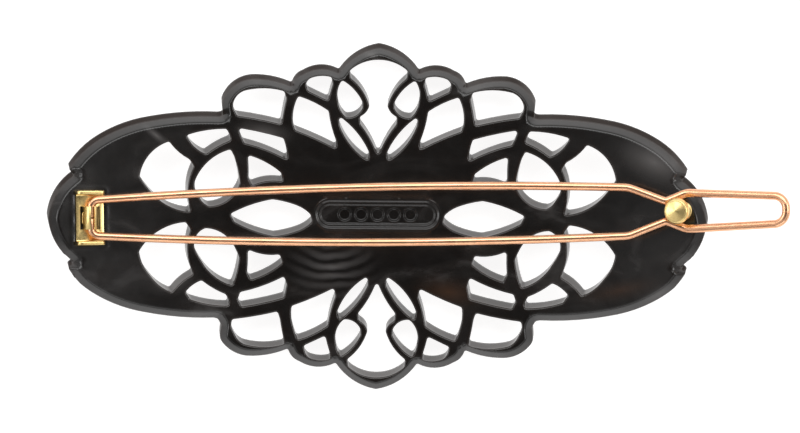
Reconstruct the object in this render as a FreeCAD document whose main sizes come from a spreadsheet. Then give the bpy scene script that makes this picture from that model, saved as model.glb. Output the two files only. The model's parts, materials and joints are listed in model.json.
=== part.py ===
import FreeCAD, Part
import math
import os

from FreeCAD import Placement, Rotation, Vector

# Wire-clasp hair barrette, millimetres.
# X runs along the plate from the hinge end to the ball end, Y runs across it, and +Z points out of
# the hollow back, which faces the head.  The origin is the lowest point of the domed front face.

SIZES = (
    # alias, value, what it is
    ("plate_length", "100.9", "tip to tip along X"),
    ("plate_width", "52.9", "tip to tip along Y"),
    ("plate_thickness", "3.0", "front face to back face"),
    ("back_radius", "155.0", "bend radius of the hollow back face"),
    ("hole_corner_radius", "0.3", "corners of the pierced holes"),
    ("rim_corner_radius", "0.22", "corners of the outer edge"),
    ("cartouche_length", "18.4", "sunk slot in the middle of the back"),
    ("cartouche_width", "3.9", "sunk slot in the middle of the back"),
    ("cartouche_offset", "0.2", "slot centre off the long axis"),
    ("cartouche_depth", "0.35", "at its middle"),
    ("dimple_diameter", "2.2", "round dimples in the slot"),
    ("dimple_pitch", "2.5", "centre to centre"),
    ("dimple_depth", "0.3", "below the floor of the slot"),
    ("hinge_setback", "6.75", "plate tip to hinge centre, along X"),
    ("hinge_y", "-0.7", "hinge centre off the long axis"),
    ("stud_setback", "4.15", "plate tip to stud centre, along X"),
    ("stud_y", "1.15", "stud centre off the long axis"),
    ("wire_diameter", "1.25", "clasp wire"),
    ("running_clearance", "0.06", "round the trunnion of the wire"),
    ("snap_clearance", "0.12", "least gap between the shut wire and the stud"),
    ("hinge_length", "4.3", "stamped hinge plate along X"),
    ("hinge_width", "8.2", "stamped hinge plate along Y"),
    ("hinge_sheet", "0.5", "sheet thickness of the hinge plate"),
    ("hinge_sink", "0.2", "depth that the hinge plate is set into the back face"),
    ("ear_height", "1.75", "top of the ears over the back face"),
    ("ear_bend_radius", "0.3", "inside radius where an ear is folded up"),
    ("ear_corner_radius", "0.7", "rounded corners of the ears"),
    ("tongue_overlap", "0.15", "tongue past the straight part of the trunnion, each side"),
    ("tongue_thickness", "0.4", "the two curled tongues"),
    ("tongue_mouth", "30.0", "open angle between the tongue tips, degrees"),
    ("window_length", "0.45", "punched window outside each tongue"),
    ("leaf_width", "1.6", "leaf spring under the trunnion"),
    ("leaf_thickness", "0.15", "leaf spring under the trunnion"),
    ("leaf_lip", "0.5", "height of its turned-up end"),
    ("leaf_clearance", "0.1", "round the leaf spring where it passes the tongue"),
    ("pin_diameter", "0.9", "two fixing pins under the hinge plate"),
    ("pin_margin", "1.5", "pin centre to the side of the hinge plate"),
    ("pin_depth", "1.5", "below the hinge plate"),
    ("head_diameter", "4.0", "ball of the stud"),
    ("head_height", "2.2", "ball of the stud, along its axis"),
    ("head_shoulder", "0.85", "share of the head's radius where its flat crown turns down"),
    ("neck_diameter", "2.1", "between the ball and the collar"),
    ("collar_diameter", "3.0", "shoulder on the back face"),
    ("collar_height", "0.3", "over the back face"),
    ("collar_sink", "0.1", "depth that the collar is set in"),
    ("stem_diameter", "1.2", "pressed into the plate"),
    ("stem_depth", "1.8", "below the collar"),
    ("catch_height", "1.4", "wire axis over the back face at the stud"),
    ("ear_clearance", "0.275", "between an arm of the wire and the ear beside it"),
    ("trunnion_gap", "0.2", "between the two cut ends of the wire"),
    ("elbow_radius", "1.1", "trunnion to arm"),
    ("arm_bow", "5.05", "where the end tangents of a bowed arm cross, off the axis"),
    ("arm_bow_share", "0.98", "share of the arm that is bowed, from its middle"),
    ("shoulder_half_width", "3.67", "where the arm turns in"),
    ("shoulder_setback", "7.8", "shoulder to stud axis, along the wire"),
    ("shoulder_radius", "4.0", "bend at the shoulder"),
    ("waist_half_width", "1.5", "narrowest place, wire axis to clasp axis"),
    ("waist_setback", "2.2", "waist to stud axis, along the wire"),
    ("waist_radius", "0.9", "bend at the waist"),
    ("loop_half_width", "2.74", "finger loop beside the stud"),
    ("loop_start", "0.9", "stud axis to the start of the loop, along the wire"),
    ("loop_start_radius", "2.0", "bend at the start of the loop"),
    ("loop_length", "15.0", "loop start to loop end"),
    ("loop_end_half_width", "2.06", "finger loop at its end"),
    ("loop_end_radius", "1.95", "bend at the end of the loop"),
    ("loop_lift", "2.6", "finger loop over the slope of the back face at the stud, degrees"),
)

doc = FreeCAD.newDocument("barrette")
sheet = doc.addObject("Spreadsheet::Sheet", "Sizes")
for row, (alias, value, note) in enumerate(SIZES, start=1):
    sheet.set(f"A{row}", alias)
    sheet.set(f"B{row}", value)
    sheet.setAlias(f"B{row}", alias)
    sheet.set(f"C{row}", note)
doc.recompute()
size = {alias: float(sheet.get(alias)) for alias, value, note in SIZES}

# ---- shared geometry ------------------------------------------------------------------------

front_radius = size["back_radius"] + size["plate_thickness"]
hinge_x = size["hinge_setback"] - size["plate_length"] / 2
stud_x = size["plate_length"] / 2 - size["stud_setback"]
skew = math.degrees(math.atan2(size["stud_y"] - size["hinge_y"], stud_x - hinge_x))
wire_radius = size["wire_diameter"] / 2
floor_top = size["hinge_sheet"] - size["hinge_sink"]
trunnion_height = floor_top + size["leaf_thickness"] + size["running_clearance"] + wire_radius
trunnion_half_length = size["hinge_width"] / 2 - size["hinge_sheet"] - size["ear_clearance"] - wire_radius
tongue_half_width = trunnion_half_length - size["elbow_radius"] + size["tongue_overlap"]
pin_offset = size["hinge_width"] / 2 - size["pin_margin"]


def back_height(x):
    """Height of the hollow back face at x."""
    return front_radius - math.sqrt(size["back_radius"] ** 2 - x ** 2)


def seat(x, y, lift=0.0):
    """Frame on the back face: Z out of the face, X along the clasp, moved out along Z by lift."""
    tilt = math.degrees(math.asin(-x / size["back_radius"]))
    turn = Rotation(Vector(0, 0, 1), skew).multiply(Rotation(Vector(0, 1, 0), tilt))
    foot = Vector(x, y, back_height(x))
    return Placement(foot + turn.multVec(Vector(0, 0, lift)), turn)


def origin_plane(body, role):
    return next(plane for plane in body.Origin.OriginFeatures if plane.Role == role)


def new_sketch(body, name, role, offset=Placement()):
    sketch = body.newObject("Sketcher::SketchObject", name)
    sketch.AttachmentSupport = (origin_plane(body, role), [""])
    sketch.MapMode = "FlatFace"
    sketch.AttachmentOffset = offset
    return sketch


def new_feature(body, kind, name, sketch, **settings):
    feature = body.newObject(f"PartDesign::{kind}", name)
    feature.Profile = sketch
    for prop, value in settings.items():
        if isinstance(value, str) and "Sizes." in value:
            feature.setExpression(prop, value)
        else:
            setattr(feature, prop, value)
    sketch.Visibility = False
    return feature


def cut_checked(body, name, sketch, **settings):
    """A pocket that has to take material away."""
    doc.recompute()
    before = body.Shape.Volume
    feature = new_feature(body, "Pocket", name, sketch, **settings)
    doc.recompute()
    if not body.Shape.Volume < before - 1e-3:
        raise RuntimeError(f"{name} cuts nothing")
    return feature


def edge_between(start, end, rise):
    """Straight edge, or an arc that stands rise to the left of the line from start to end."""
    if rise == 0:
        return Part.LineSegment(start, end).toShape()
    run = end - start
    left = Vector(-run.y, run.x, 0).normalize()
    middle = (start + end) * 0.5 + left * rise
    return Part.Arc(start, middle, end).toShape()


def loop_wire(corners):
    """Closed wire through (x, y, rise of the edge that follows)."""
    points = [Vector(x, y, 0) for x, y, rise in corners]
    edges = []
    for index, (x, y, rise) in enumerate(corners):
        edges.append(edge_between(points[index], points[(index + 1) % len(points)], rise))
    return Part.Wire(edges)


def rounded(wire, radius):
    """The wire with the corners that point out of it rounded."""
    return wire.makeOffset2D(-radius).makeOffset2D(radius)


def add_wire(sketch, wire):
    for edge in wire.Edges:
        first, last = edge.FirstParameter, edge.LastParameter
        ends = edge.valueAt(first), edge.valueAt(last)
        if isinstance(edge.Curve, Part.Line):
            sketch.addGeometry(Part.LineSegment(*ends), False)
        else:
            sketch.addGeometry(Part.Arc(ends[0], edge.valueAt((first + last) / 2), ends[1]), False)


def add_rectangle(sketch, x_low, x_high, y_low, y_high):
    corners = ((x_low, y_low, 0), (x_high, y_low, 0), (x_high, y_high, 0), (x_low, y_high, 0))
    add_wire(sketch, loop_wire(corners))


# ---- openwork plate -------------------------------------------------------------------------
# One quarter of the pierced pattern, for a plate PATTERN_LENGTH by PATTERN_WIDTH.  A corner is
# (x, y, rise), where rise is how far the edge to the next corner stands to the left of its chord.

PATTERN_LENGTH = 100.9
PATTERN_WIDTH = 52.9

RIM_QUARTER = (
    # from the tip of the end petal, round to the tip of the top petal
    (50.45, 0.0, -0.88),
    (46.45, 6.65, 0.0),
    (47.35, 7.45, -0.35),
    (43.0, 11.9, -0.44),
    (35.0, 14.95, -0.30),
    (24.6, 15.72, 0.0),
    (23.85, 15.9, -0.06),
    (24.1, 17.9, -0.85),
    (19.6, 21.5, -0.38),
    (13.35, 20.35, -0.35),
    (11.6, 22.3, -0.75),
    (6.15, 22.45, -0.78),
)
TOP_PETAL_HALF = (
    # hole in the top petal, from its outer middle to its inner tip, on the +X side
    (0.0, 23.8, 0.48),
    (4.55, 22.0, -0.52),
    (1.3, 17.3, -0.45),
    (3.0, 15.05, -0.30),
    (0.0, 9.85, 0.0),
)
AXIS_LEAF_HALF = (
    # leaf-shaped hole on the long axis, from its outer tip to its inner tip, on the +Y side
    (22.6, 0.0, -0.30),
    (16.0, 2.38, -0.12),
    (12.2, 1.45, -0.15),
    (10.1, 0.0, 0.0),
)
QUARTER_HOLES = {
    "curl": ((5.55, 20.65, -0.36), (2.45, 17.35, -0.50), (5.0, 15.85, -0.98)),
    "small_arch": ((7.05, 21.05, 0.30), (10.4, 20.9, 0.12), (11.1, 19.9, 0.0), (7.8, 18.35, -0.05)),
    "slim_leaf": ((6.25, 15.35, -0.64), (1.1, 9.05, -0.84)),
    "inner_panel": ((12.2, 18.15, -0.20), (7.6, 15.95, 0.20), (6.15, 10.85, 0.15), (12.95, 13.85, -0.35)),
    "large_arch": (
        (14.25, 18.85, 0.42), (20.4, 18.9, 0.35), (22.1, 16.9, 0.05), (21.95, 15.95, -0.12),
        (15.05, 14.7, -0.05),
    ),
    "band_panel": ((21.25, 13.2, -0.12), (14.4, 11.7, 0.0), (13.9, 9.2, 0.28), (20.8, 11.8, 0.0)),
    "arched_triangle": ((19.8, 9.1, -0.42), (14.0, 5.8, 0.55), (19.7, 5.25, 0.08)),
    "wide_petal": ((22.4, 9.95, 0.85), (27.75, 5.2, 0.70), (26.1, 2.1, 0.95), (21.4, 5.7, 0.15)),
    "outer_triangle": ((23.0, 13.05, 0.28), (29.2, 12.0, 0.25), (26.65, 10.05, -0.18), (22.85, 12.2, 0.0)),
    "end_petal": ((31.75, 11.05, 1.0), (36.15, 5.7, 1.12), (28.85, 1.2, -0.80), (28.45, 8.25, -0.28)),
}


def to_plate(corners):
    """Stretches a part of the pattern to the size of this plate."""
    x_factor = size["plate_length"] / PATTERN_LENGTH
    y_factor = size["plate_width"] / PATTERN_WIDTH
    return [(x * x_factor, y * y_factor, rise * (x_factor + y_factor) / 2) for x, y, rise in corners]


def flipped(corners, x_sign, y_sign):
    sense = x_sign * y_sign
    return [(x * x_sign, y * y_sign, rise * sense) for x, y, rise in corners]


def reversed_run(corners):
    """The same open run the other way round; each rise stays with its edge and turns over."""
    points = [(x, y) for x, y, rise in corners][::-1]
    rises = [-rise for x, y, rise in corners[:-1]][::-1] + [0.0]
    return [(x, y, rise) for (x, y), rise in zip(points, rises)]


def joined(runs):
    """One closed loop from open runs, each of which ends where the next one starts."""
    return [corner for run in runs for corner in run[:-1]]


def rim_corners():
    quarter = to_plate(RIM_QUARTER + ((0.0, PATTERN_WIDTH / 2, 0.0),))
    back = reversed_run(quarter)
    return joined([quarter, flipped(back, -1, 1), flipped(quarter, -1, -1), flipped(back, 1, -1)])


def hole_wires():
    radius = size["hole_corner_radius"]
    loops = []
    for sign in (1, -1):
        petal = to_plate(TOP_PETAL_HALF)
        loops.append(joined([flipped(petal, 1, sign), reversed_run(flipped(petal, -1, sign))]))
        leaf = to_plate(AXIS_LEAF_HALF)
        loops.append(joined([flipped(leaf, sign, 1), reversed_run(flipped(leaf, sign, -1))]))
    for corners in QUARTER_HOLES.values():
        for x_sign in (1, -1):
            for y_sign in (1, -1):
                loops.append(flipped(to_plate(corners), x_sign, y_sign))
    return [rounded(loop_wire(loop), radius) for loop in loops]


def rim_wire():
    radius = size["rim_corner_radius"]
    grown = loop_wire(rim_corners()).makeOffset2D(radius).makeOffset2D(-radius)
    return rounded(grown, radius)


def curved_region(sketch, radius, top):
    """Area above the back curve (top) or below the front curve, in a sketch on the XZ plane."""
    half = size["plate_length"] / 2 + size["plate_thickness"]
    height = front_radius - math.sqrt(radius ** 2 - half ** 2)
    limit = 4 * height if top else -height
    low, high = Vector(-half, height, 0), Vector(half, height, 0)
    bottom = Vector(0, front_radius - radius, 0)
    sketch.addGeometry(Part.Arc(low, bottom, high), False)
    for start, end in (
        (high, Vector(half, limit, 0)),
        (Vector(half, limit, 0), Vector(-half, limit, 0)),
        (Vector(-half, limit, 0), low),
    ):
        sketch.addGeometry(Part.LineSegment(start, end), False)


def make_openwork_plate():
    body = doc.addObject("PartDesign::Body", "openwork_plate")
    outline = new_sketch(body, "pierced_outline", "XY_Plane")
    for wire in [rim_wire()] + hole_wires():
        add_wire(outline, wire)
    new_feature(body, "Pad", "pierced_blank", outline,
                Length="Sizes.plate_thickness + Sizes.plate_length ^ 2 / (4 * Sizes.back_radius)")

    across = "2 * Sizes.plate_width"
    for name, radius, top in (
        ("back_curve", size["back_radius"], True),
        ("front_curve", front_radius, False),
    ):
        curve = new_sketch(body, f"{name}_line", "XZ_Plane")
        curved_region(curve, radius, top)
        cut_checked(body, name, curve, Length=across, Midplane=True)

    floor = size["plate_thickness"] - size["cartouche_depth"]
    slot = new_sketch(body, "cartouche_outline", "XY_Plane", Placement(Vector(0, 0, floor), Rotation()))
    half_run = (size["cartouche_length"] - size["cartouche_width"]) / 2
    half_width = size["cartouche_width"] / 2
    middle = size["cartouche_offset"]
    add_wire(slot, loop_wire((
        (-half_run, middle - half_width, 0), (half_run, middle - half_width, -half_width),
        (half_run, middle + half_width, 0), (-half_run, middle + half_width, -half_width),
    )))
    cut_checked(body, "cartouche", slot, Reversed=True, Length="Sizes.plate_thickness")

    dimple = new_sketch(body, "dimple_circle", "XY_Plane", Placement(Vector(0, 0, floor), Rotation()))
    dimple.addGeometry(Part.Circle(Vector(-2 * size["dimple_pitch"], middle, 0), Vector(0, 0, 1),
                                   size["dimple_diameter"] / 2), False)
    first = cut_checked(body, "dimple", dimple, Length="Sizes.dimple_depth")
    row = body.newObject("PartDesign::LinearPattern", "dimple_row")
    row.Originals = [first]
    row.Direction = (dimple, ["H_Axis"])
    row.Occurrences = 5
    row.setExpression("Length", "4 * Sizes.dimple_pitch")
    body.Tip = row

    hinge_bed = new_sketch(body, "hinge_bed_outline", "XY_Plane",
                           seat(hinge_x, size["hinge_y"], -size["hinge_sink"]))
    add_rectangle(hinge_bed, -size["hinge_length"] / 2, size["hinge_length"] / 2,
                  -size["hinge_width"] / 2, size["hinge_width"] / 2)
    cut_checked(body, "hinge_bed", hinge_bed, Reversed=True, Length="Sizes.plate_thickness")

    pin_holes = new_sketch(body, "pin_hole_circles", "XY_Plane",
                           seat(hinge_x, size["hinge_y"], -size["hinge_sink"]))
    for side in (1, -1):
        pin_holes.addGeometry(Part.Circle(Vector(0, side * pin_offset, 0), Vector(0, 0, 1),
                                          size["pin_diameter"] / 2), False)
    cut_checked(body, "pin_holes", pin_holes, Length="Sizes.pin_depth")

    for name, diameter, lift, depth, upward in (
        ("collar_bed", "collar_diameter", -size["collar_sink"], "Sizes.plate_thickness", True),
        ("stem_hole", "stem_diameter", -size["collar_sink"], "Sizes.stem_depth", False),
    ):
        circle = new_sketch(body, f"{name}_circle", "XY_Plane", seat(stud_x, size["stud_y"], lift))
        circle.addGeometry(Part.Circle(Vector(), Vector(0, 0, 1), size[diameter] / 2), False)
        cut_checked(body, name, circle, Reversed=upward, Length=depth)
    return body


# ---- hinge ----------------------------------------------------------------------------------


def ear_profile():
    """Folded sheet seen along X: floor, two bends and two ears."""
    half = size["hinge_width"] / 2
    sheet_thickness = size["hinge_sheet"]
    bottom, top = -size["hinge_sink"], size["ear_height"]
    inner = size["ear_bend_radius"]
    outer = inner + sheet_thickness
    quarter = 1 - math.sqrt(0.5)

    def sagitta(radius):
        return radius * quarter

    wall = half - sheet_thickness
    return (
        (-half + outer, bottom, 0), (half - outer, bottom, -sagitta(outer)),
        (half, bottom + outer, 0), (half, top, 0), (wall, top, 0),
        (wall, floor_top + inner, sagitta(inner)), (wall - inner, floor_top, 0),
        (-wall + inner, floor_top, sagitta(inner)), (-wall, floor_top + inner, 0),
        (-wall, top, 0), (-half, top, 0), (-half, bottom + outer, -sagitta(outer)),
    )


def tongue_outline(side):
    """Tongue seen along Y: a leg up from the floor and a curl over the trunnion."""
    inner = wire_radius + size["running_clearance"]
    outer = inner + size["tongue_thickness"]
    tip = math.radians(90 - size["tongue_mouth"] / 2)

    def on_arc(radius, angle):
        return Vector(side * radius * math.cos(angle), trunnion_height + radius * math.sin(angle), 0)

    foot = floor_top - size["hinge_sheet"] / 2
    edges = [
        Part.LineSegment(Vector(side * inner, foot, 0), Vector(side * outer, foot, 0)),
        Part.LineSegment(Vector(side * outer, foot, 0), on_arc(outer, 0)),
        Part.Arc(on_arc(outer, 0), on_arc(outer, tip / 2), on_arc(outer, tip)),
        Part.LineSegment(on_arc(outer, tip), on_arc(inner, tip)),
        Part.Arc(on_arc(inner, tip), on_arc(inner, tip / 2), on_arc(inner, 0)),
        Part.LineSegment(on_arc(inner, 0), Vector(side * inner, foot, 0)),
    ]
    return Part.Wire([edge.toShape() for edge in edges])


def make_hinge_plate():
    body = doc.addObject("PartDesign::Body", "hinge_plate")
    profile = new_sketch(body, "folded_profile", "YZ_Plane")
    add_wire(profile, loop_wire(ear_profile()))
    folded = new_feature(body, "Pad", "folded_sheet", profile, Length="Sizes.hinge_length", Midplane=True)
    doc.recompute()

    ear_edges = []
    for index, edge in enumerate(folded.Shape.Edges, start=1):
        ends = [vertex.Point for vertex in edge.Vertexes]
        on_top = all(abs(point.z - size["ear_height"]) < 1e-6 for point in ends)
        if on_top and abs(ends[0].x - ends[-1].x) < 1e-6:
            ear_edges.append(f"Edge{index}")
    corners = body.newObject("PartDesign::Fillet", "ear_corners")
    corners.Base = (folded, ear_edges)
    corners.setExpression("Radius", "Sizes.ear_corner_radius")
    doc.recompute()

    tongue_reach = wire_radius + size["running_clearance"] + size["tongue_thickness"]
    windows = new_sketch(body, "window_outlines", "XY_Plane")
    for side in (1, -1):
        near, far = side * tongue_reach, side * (tongue_reach + size["window_length"])
        add_rectangle(windows, min(near, far), max(near, far), -tongue_half_width, tongue_half_width)
    cut_checked(body, "windows", windows, Midplane=True, Length="2 * Sizes.hinge_sheet")

    for side, name in ((1, "inner_tongue"), (-1, "outer_tongue")):
        outline = new_sketch(body, f"{name}_outline", "XZ_Plane")
        add_wire(outline, tongue_outline(side))
        new_feature(body, "Pad", name, outline, Length=2 * tongue_half_width, Midplane=True)

    arch = new_sketch(body, "leaf_arch_outline", "YZ_Plane")
    half = size["leaf_width"] / 2 + size["leaf_clearance"]
    add_rectangle(arch, -half, half, floor_top, floor_top + size["leaf_lip"] + size["leaf_clearance"])
    cut_checked(body, "leaf_arch", arch, Reversed=False, Length="Sizes.hinge_length / 2")

    pins = new_sketch(body, "pin_circles", "XY_Plane",
                      Placement(Vector(0, 0, -size["hinge_sink"]), Rotation()))
    for side in (1, -1):
        pins.addGeometry(Part.Circle(Vector(0, side * pin_offset, 0), Vector(0, 0, 1),
                                     size["pin_diameter"] / 2), False)
    new_feature(body, "Pad", "pins", pins, Reversed=True, Length="Sizes.pin_depth")
    body.Placement = seat(hinge_x, size["hinge_y"])
    return body


def make_leaf_spring():
    """Thin strip that lies under the trunnion, with its outer end turned up beside the tongue."""
    body = doc.addObject("PartDesign::Body", "hinge_leaf_spring")
    profile = new_sketch(body, "strip_profile", "XZ_Plane")
    inner_end = wire_radius + size["running_clearance"]
    outer_end = inner_end + size["tongue_thickness"] + size["leaf_clearance"]
    thick = size["leaf_thickness"]
    top = floor_top + thick
    add_wire(profile, loop_wire((
        (-outer_end - thick, floor_top, 0), (inner_end - size["leaf_clearance"], floor_top, 0),
        (inner_end - size["leaf_clearance"], top, 0), (-outer_end, top, 0),
        (-outer_end, floor_top + size["leaf_lip"], 0), (-outer_end - thick, floor_top + size["leaf_lip"], 0),
    )))
    new_feature(body, "Pad", "strip", profile, Length="Sizes.leaf_width", Midplane=True)
    body.Placement = seat(hinge_x, size["hinge_y"])
    return body


# ---- ball stud ------------------------------------------------------------------------------


def make_ball_stud():
    body = doc.addObject("PartDesign::Body", "ball_stud")
    profile = new_sketch(body, "turned_profile", "XZ_Plane")
    head_radius, half_head = size["head_diameter"] / 2, size["head_height"] / 2
    neck, collar, stem = size["neck_diameter"] / 2, size["collar_diameter"] / 2, size["stem_diameter"] / 2
    middle = size["catch_height"] + wire_radius + size["snap_clearance"] + half_head
    stem_end = -size["collar_sink"] - size["stem_depth"]
    under = middle - half_head * math.sqrt(1 - (neck / head_radius) ** 2)

    def on_head(across, height):
        return Vector(across * head_radius, middle + height * half_head, 0)

    shoulder = size["head_shoulder"]
    brow = math.sqrt(1 - shoulder ** 2)
    crown = math.asin(shoulder) / 2
    beside = (shoulder + neck / head_radius) / 2
    for arc in (
        (on_head(0, 1), on_head(math.sin(crown), math.cos(crown)), on_head(shoulder, brow)),
        (on_head(shoulder, brow), on_head(1, 0), on_head(shoulder, -brow)),
        (on_head(shoulder, -brow), on_head(beside, -math.sqrt(1 - beside ** 2)), Vector(neck, under, 0)),
    ):
        profile.addGeometry(Part.Arc(*arc), False)
    corners = (
        (0, middle + half_head), (0, stem_end), (stem, stem_end), (stem, -size["collar_sink"]),
        (collar, -size["collar_sink"]), (collar, size["collar_height"]), (neck, size["collar_height"]),
        (neck, under),
    )
    for (x_start, z_start), (x_end, z_end) in zip(corners, corners[1:]):
        profile.addGeometry(Part.LineSegment(Vector(x_start, z_start, 0), Vector(x_end, z_end, 0)), False)
    turned = new_feature(body, "Revolution", "turned", profile, Angle=360.0)
    turned.ReferenceAxis = (profile, ["V_Axis"])
    body.Placement = seat(stud_x, size["stud_y"])
    return body


# ---- clasp wire -----------------------------------------------------------------------------


def bent_path(corners):
    """Wire of straight runs and tangent arcs through (point, bend radius)."""
    edges = []
    at = corners[0][0]
    for index in range(1, len(corners) - 1):
        corner, radius = corners[index]
        to_before = (corners[index - 1][0] - corner).normalize()
        to_after = (corners[index + 1][0] - corner).normalize()
        half_turn = (math.pi - to_before.getAngle(to_after)) / 2
        reach = radius * math.tan(half_turn)
        start, end = corner + to_before * reach, corner + to_after * reach
        inward = (to_before + to_after).normalize()
        middle = corner + inward * (radius / math.cos(half_turn) - radius)
        edges.append(Part.LineSegment(at, start).toShape())
        edges.append(Part.Arc(start, middle, end).toShape())
        at = end
    edges.append(Part.LineSegment(at, corners[-1][0]).toShape())
    return Part.Wire(edges)


def make_clasp_wire():
    hinge = seat(hinge_x, size["hinge_y"], trunnion_height)
    stud = seat(stud_x, size["stud_y"], size["catch_height"])
    span = stud.Base - hinge.Base
    reach = math.hypot(span.x, span.y)
    slope = math.degrees(math.atan2(span.z, reach))
    run = span.Length
    rise = math.degrees(math.asin(stud_x / size["back_radius"])) + size["loop_lift"] - slope
    climb = math.tan(math.radians(rise))
    shoulder_x = run - size["shoulder_setback"]
    elbow = Vector(0, trunnion_half_length, 0)
    bow = Vector(shoulder_x / 2, size["arm_bow"], 0)
    shoulder = Vector(shoulder_x, size["shoulder_half_width"], 0)
    bow_turn = math.pi - (elbow - bow).getAngle(shoulder - bow)
    shorter = min((elbow - bow).Length, (shoulder - bow).Length)
    bow_reach = size["arm_bow_share"] * shorter - size["elbow_radius"]

    start = (Vector(0, size["trunnion_gap"] / 2, 0), 0)
    half = [
        (elbow, size["elbow_radius"]),
        (bow, bow_reach / math.tan(bow_turn / 2)),
        (shoulder, size["shoulder_radius"]),
        (Vector(run - size["waist_setback"], size["waist_half_width"], 0), size["waist_radius"]),
        (Vector(run + size["loop_start"], size["loop_half_width"], 0), size["loop_start_radius"]),
        (Vector(run + size["loop_start"] + size["loop_length"], size["loop_end_half_width"],
                size["loop_length"] * climb), size["loop_end_radius"]),
    ]
    corners = [start] + half
    for point, radius in reversed([start] + half):
        corners.append((Vector(point.x, -point.y, point.z), radius))

    path = doc.addObject("Part::Feature", "clasp_wire_path")
    path.Shape = bent_path(corners)
    section = doc.addObject("Part::Circle", "clasp_wire_section")
    section.setExpression("Radius", "Sizes.wire_diameter / 2")
    section.Placement = Placement(start[0], Rotation(Vector(1, 0, 0), -90))
    sweep = doc.addObject("Part::Sweep", "clasp_wire")
    sweep.Sections = [section]
    sweep.Spine = (path, [])
    sweep.Solid = True
    sweep.Frenet = False
    sweep.Placement = Placement(
        hinge.Base, Rotation(Vector(0, 0, 1), skew).multiply(Rotation(Vector(0, 1, 0), -slope)))
    return sweep, path.Shape.Length


# ---- build, check and write -----------------------------------------------------------------

plate = make_openwork_plate()
hinge_plate = make_hinge_plate()
leaf_spring = make_leaf_spring()
ball_stud = make_ball_stud()
clasp_wire, wire_length = make_clasp_wire()
sub_parts = (plate, hinge_plate, leaf_spring, ball_stud, clasp_wire)
for part in sub_parts:
    part.Label = part.Name
doc.recompute()

for item in doc.Objects:
    if {"Invalid", "Error"} & set(item.State):
        raise RuntimeError(f"{item.Name} failed: {item.State}")
for part in sub_parts:
    if part.Shape.isNull() or not part.Shape.isValid():
        raise RuntimeError(f"{part.Name} has no valid shape")

os.makedirs("parts", exist_ok=True)
for part in sub_parts:
    part.Shape.exportStep(f"parts/{part.Label}.step")
    print(part.Label, "solids", len(part.Shape.Solids), "volume", round(part.Shape.Volume, 3))
expected = math.pi * wire_radius ** 2 * wire_length
print("wire volume over section times length", round(clasp_wire.Shape.Volume / expected, 4))
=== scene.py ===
import json
import math

import bmesh
import bpy
import numpy as np
from mathutils import Matrix, Vector, kdtree
from mathutils.geometry import delaunay_2d_cdt


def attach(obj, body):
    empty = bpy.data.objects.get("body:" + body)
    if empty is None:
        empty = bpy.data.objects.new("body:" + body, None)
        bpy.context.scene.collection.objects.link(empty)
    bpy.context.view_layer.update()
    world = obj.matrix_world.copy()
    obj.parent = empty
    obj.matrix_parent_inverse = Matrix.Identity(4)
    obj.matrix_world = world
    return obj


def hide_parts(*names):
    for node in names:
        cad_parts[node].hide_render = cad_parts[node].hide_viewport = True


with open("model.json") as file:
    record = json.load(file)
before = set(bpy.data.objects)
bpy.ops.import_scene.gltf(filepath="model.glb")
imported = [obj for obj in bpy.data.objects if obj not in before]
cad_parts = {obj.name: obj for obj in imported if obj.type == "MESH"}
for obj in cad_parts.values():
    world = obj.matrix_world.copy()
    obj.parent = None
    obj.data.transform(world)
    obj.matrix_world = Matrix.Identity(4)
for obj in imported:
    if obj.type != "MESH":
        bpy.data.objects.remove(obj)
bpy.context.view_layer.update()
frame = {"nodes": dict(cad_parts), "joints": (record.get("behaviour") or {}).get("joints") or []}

# Shapes are worked out in millimetres and turned into metres when a mesh is made.
MM = 0.001

# ---- plate sizes, as in the CAD ---------------------------------------------------------------
BACK_RADIUS = 155.0
THICKNESS = 3.0
FRONT_RADIUS = BACK_RADIUS + THICKNESS

# ---- finish of the cut edges -------------------------------------------------------------------
LEAN = 0.84                  # the walls lean: the front outline lies this far towards +Y
SPREAD = THICKNESS / BACK_RADIUS  # the walls stand square to the bent sheet along X
SPACING = 0.24               # between points along an outline
HOLE_ROUND = 0.24            # back edge of the holes
FRONT_HOLE_ROUND = 0.4       # front edge of the holes
FRONT_RIM_ROUND = 0.6        # front edge of the rim
BEVEL_WIDTH = 0.93           # bevel along the back of the rim
BEVEL_DEPTH = 1.6
CREASE = 0.16                # half width of the rounded crease at the top of the bevel
WALL_STEPS = 5
CORNER_SOFTNESS = 0.08
RIM_RINGS = (0.02, 0.09, 0.2, 0.36, 0.56, 0.7, 0.77, 0.85, 0.93, 1.01, 1.1, 1.3)
HOLE_RINGS = (0.008, 0.035, 0.085, 0.15, 0.24, 0.33, 0.46)
LEAN_CHECKS = 13             # places along a wall where its outline is tested
FILL = 0.62                  # between points inside the sheet
FINE_FILL = 0.13             # the same, in and round the slot
SLOT_MARGIN = 0.5            # how far the fine points go past the slot
HINGE_FILL = 0.25            # between points round the hinge plate
HINGE_FILL_SHIFT = 0.12      # every second row moves by this much
HINGE_MARGIN = 1.2           # how far those points go past the hinge plate
OUTLINE_GAP = 0.2            # fill points keep this far from an outline
POINT_GAP = 0.14             # and this far from an earlier point
DENSE = 0.05                 # between the points that distances are measured to
MERGE = 1e-7                 # points closer than this are one
TINT_REACH = 0.18            # the edge tint fades over this distance

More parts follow.
